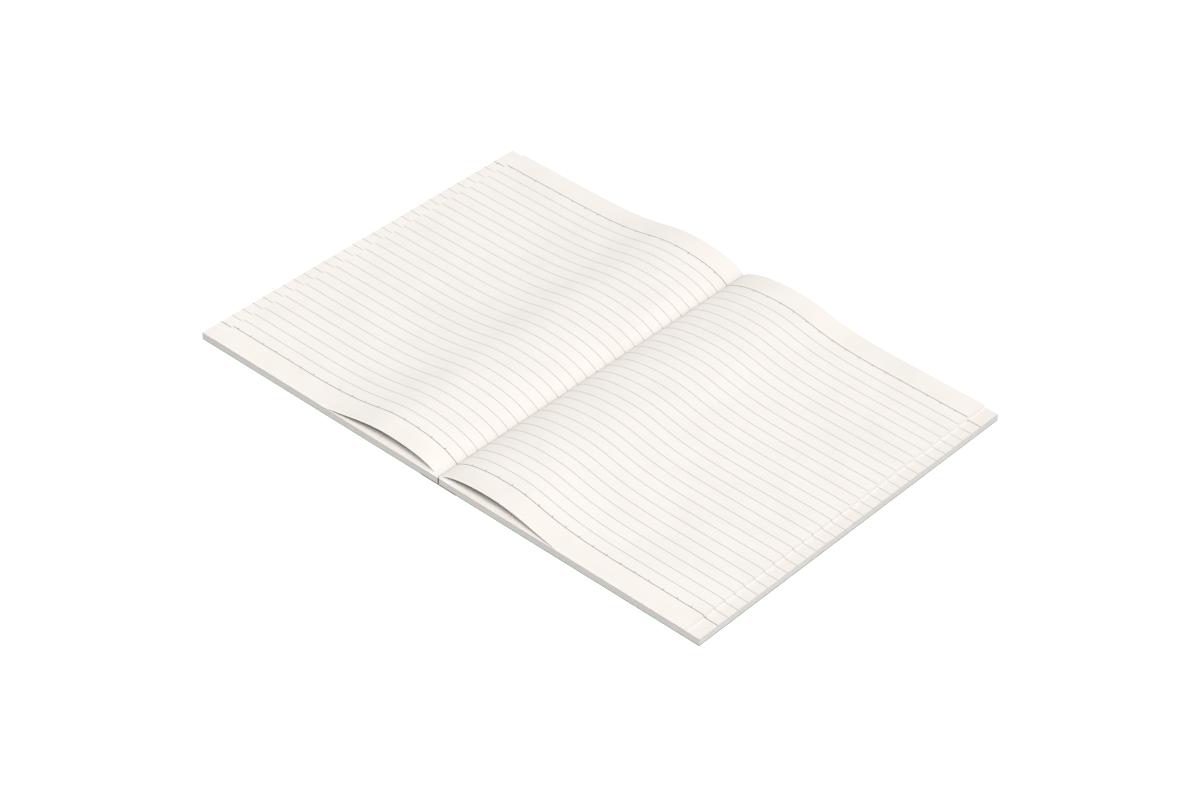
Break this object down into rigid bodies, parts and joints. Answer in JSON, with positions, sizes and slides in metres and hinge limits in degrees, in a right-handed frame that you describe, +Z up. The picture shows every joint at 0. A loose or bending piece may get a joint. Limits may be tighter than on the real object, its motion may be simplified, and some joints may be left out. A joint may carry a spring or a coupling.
{
  "type": "open composition notebook",
  "caption": "Glue-bound notebook lying open at its middle on plain cloth-taped board covers, the topmost ruled leaves of each half lifted in a curve; its halves fold shut.",
  "frame": {"origin": "centre of the spread under the spine, on the table", "axes": "+X across the spread towards the back half, +Y along the spine towards the head, +Z up from the table"},
  "size_m": [0.358, 0.252, 0.0139],
  "materials": {
    "cover_board": "satin pale teal cover board",
    "spine_cloth": "matt dark bookcloth tape",
    "page_stack": "matt off-white writing paper, trimmed edges",
    "leaf_paper": "matt off-white ruled writing paper"
  },
  "bodies": {
    "back_half": {"back_cover": "cover_board", "back_pages": "page_stack", "back_lifted_leaves": "leaf_paper", "spine_cloth": "spine_cloth"},
    "front_half": {"front_cover": "cover_board", "front_pages": "page_stack", "front_lifted_leaves": "leaf_paper"}
  },
  "joints": [
    {"name": "front_cover_hinge", "type": "hinge", "parent": "back_half", "child": "front_half", "pos_m": [0, 0, 0.00504], "axis": [0, 1, 0], "range_deg": [0, 180], "deforming": ["front_lifted_leaves", "back_lifted_leaves", "spine_cloth"]}
  ]
}
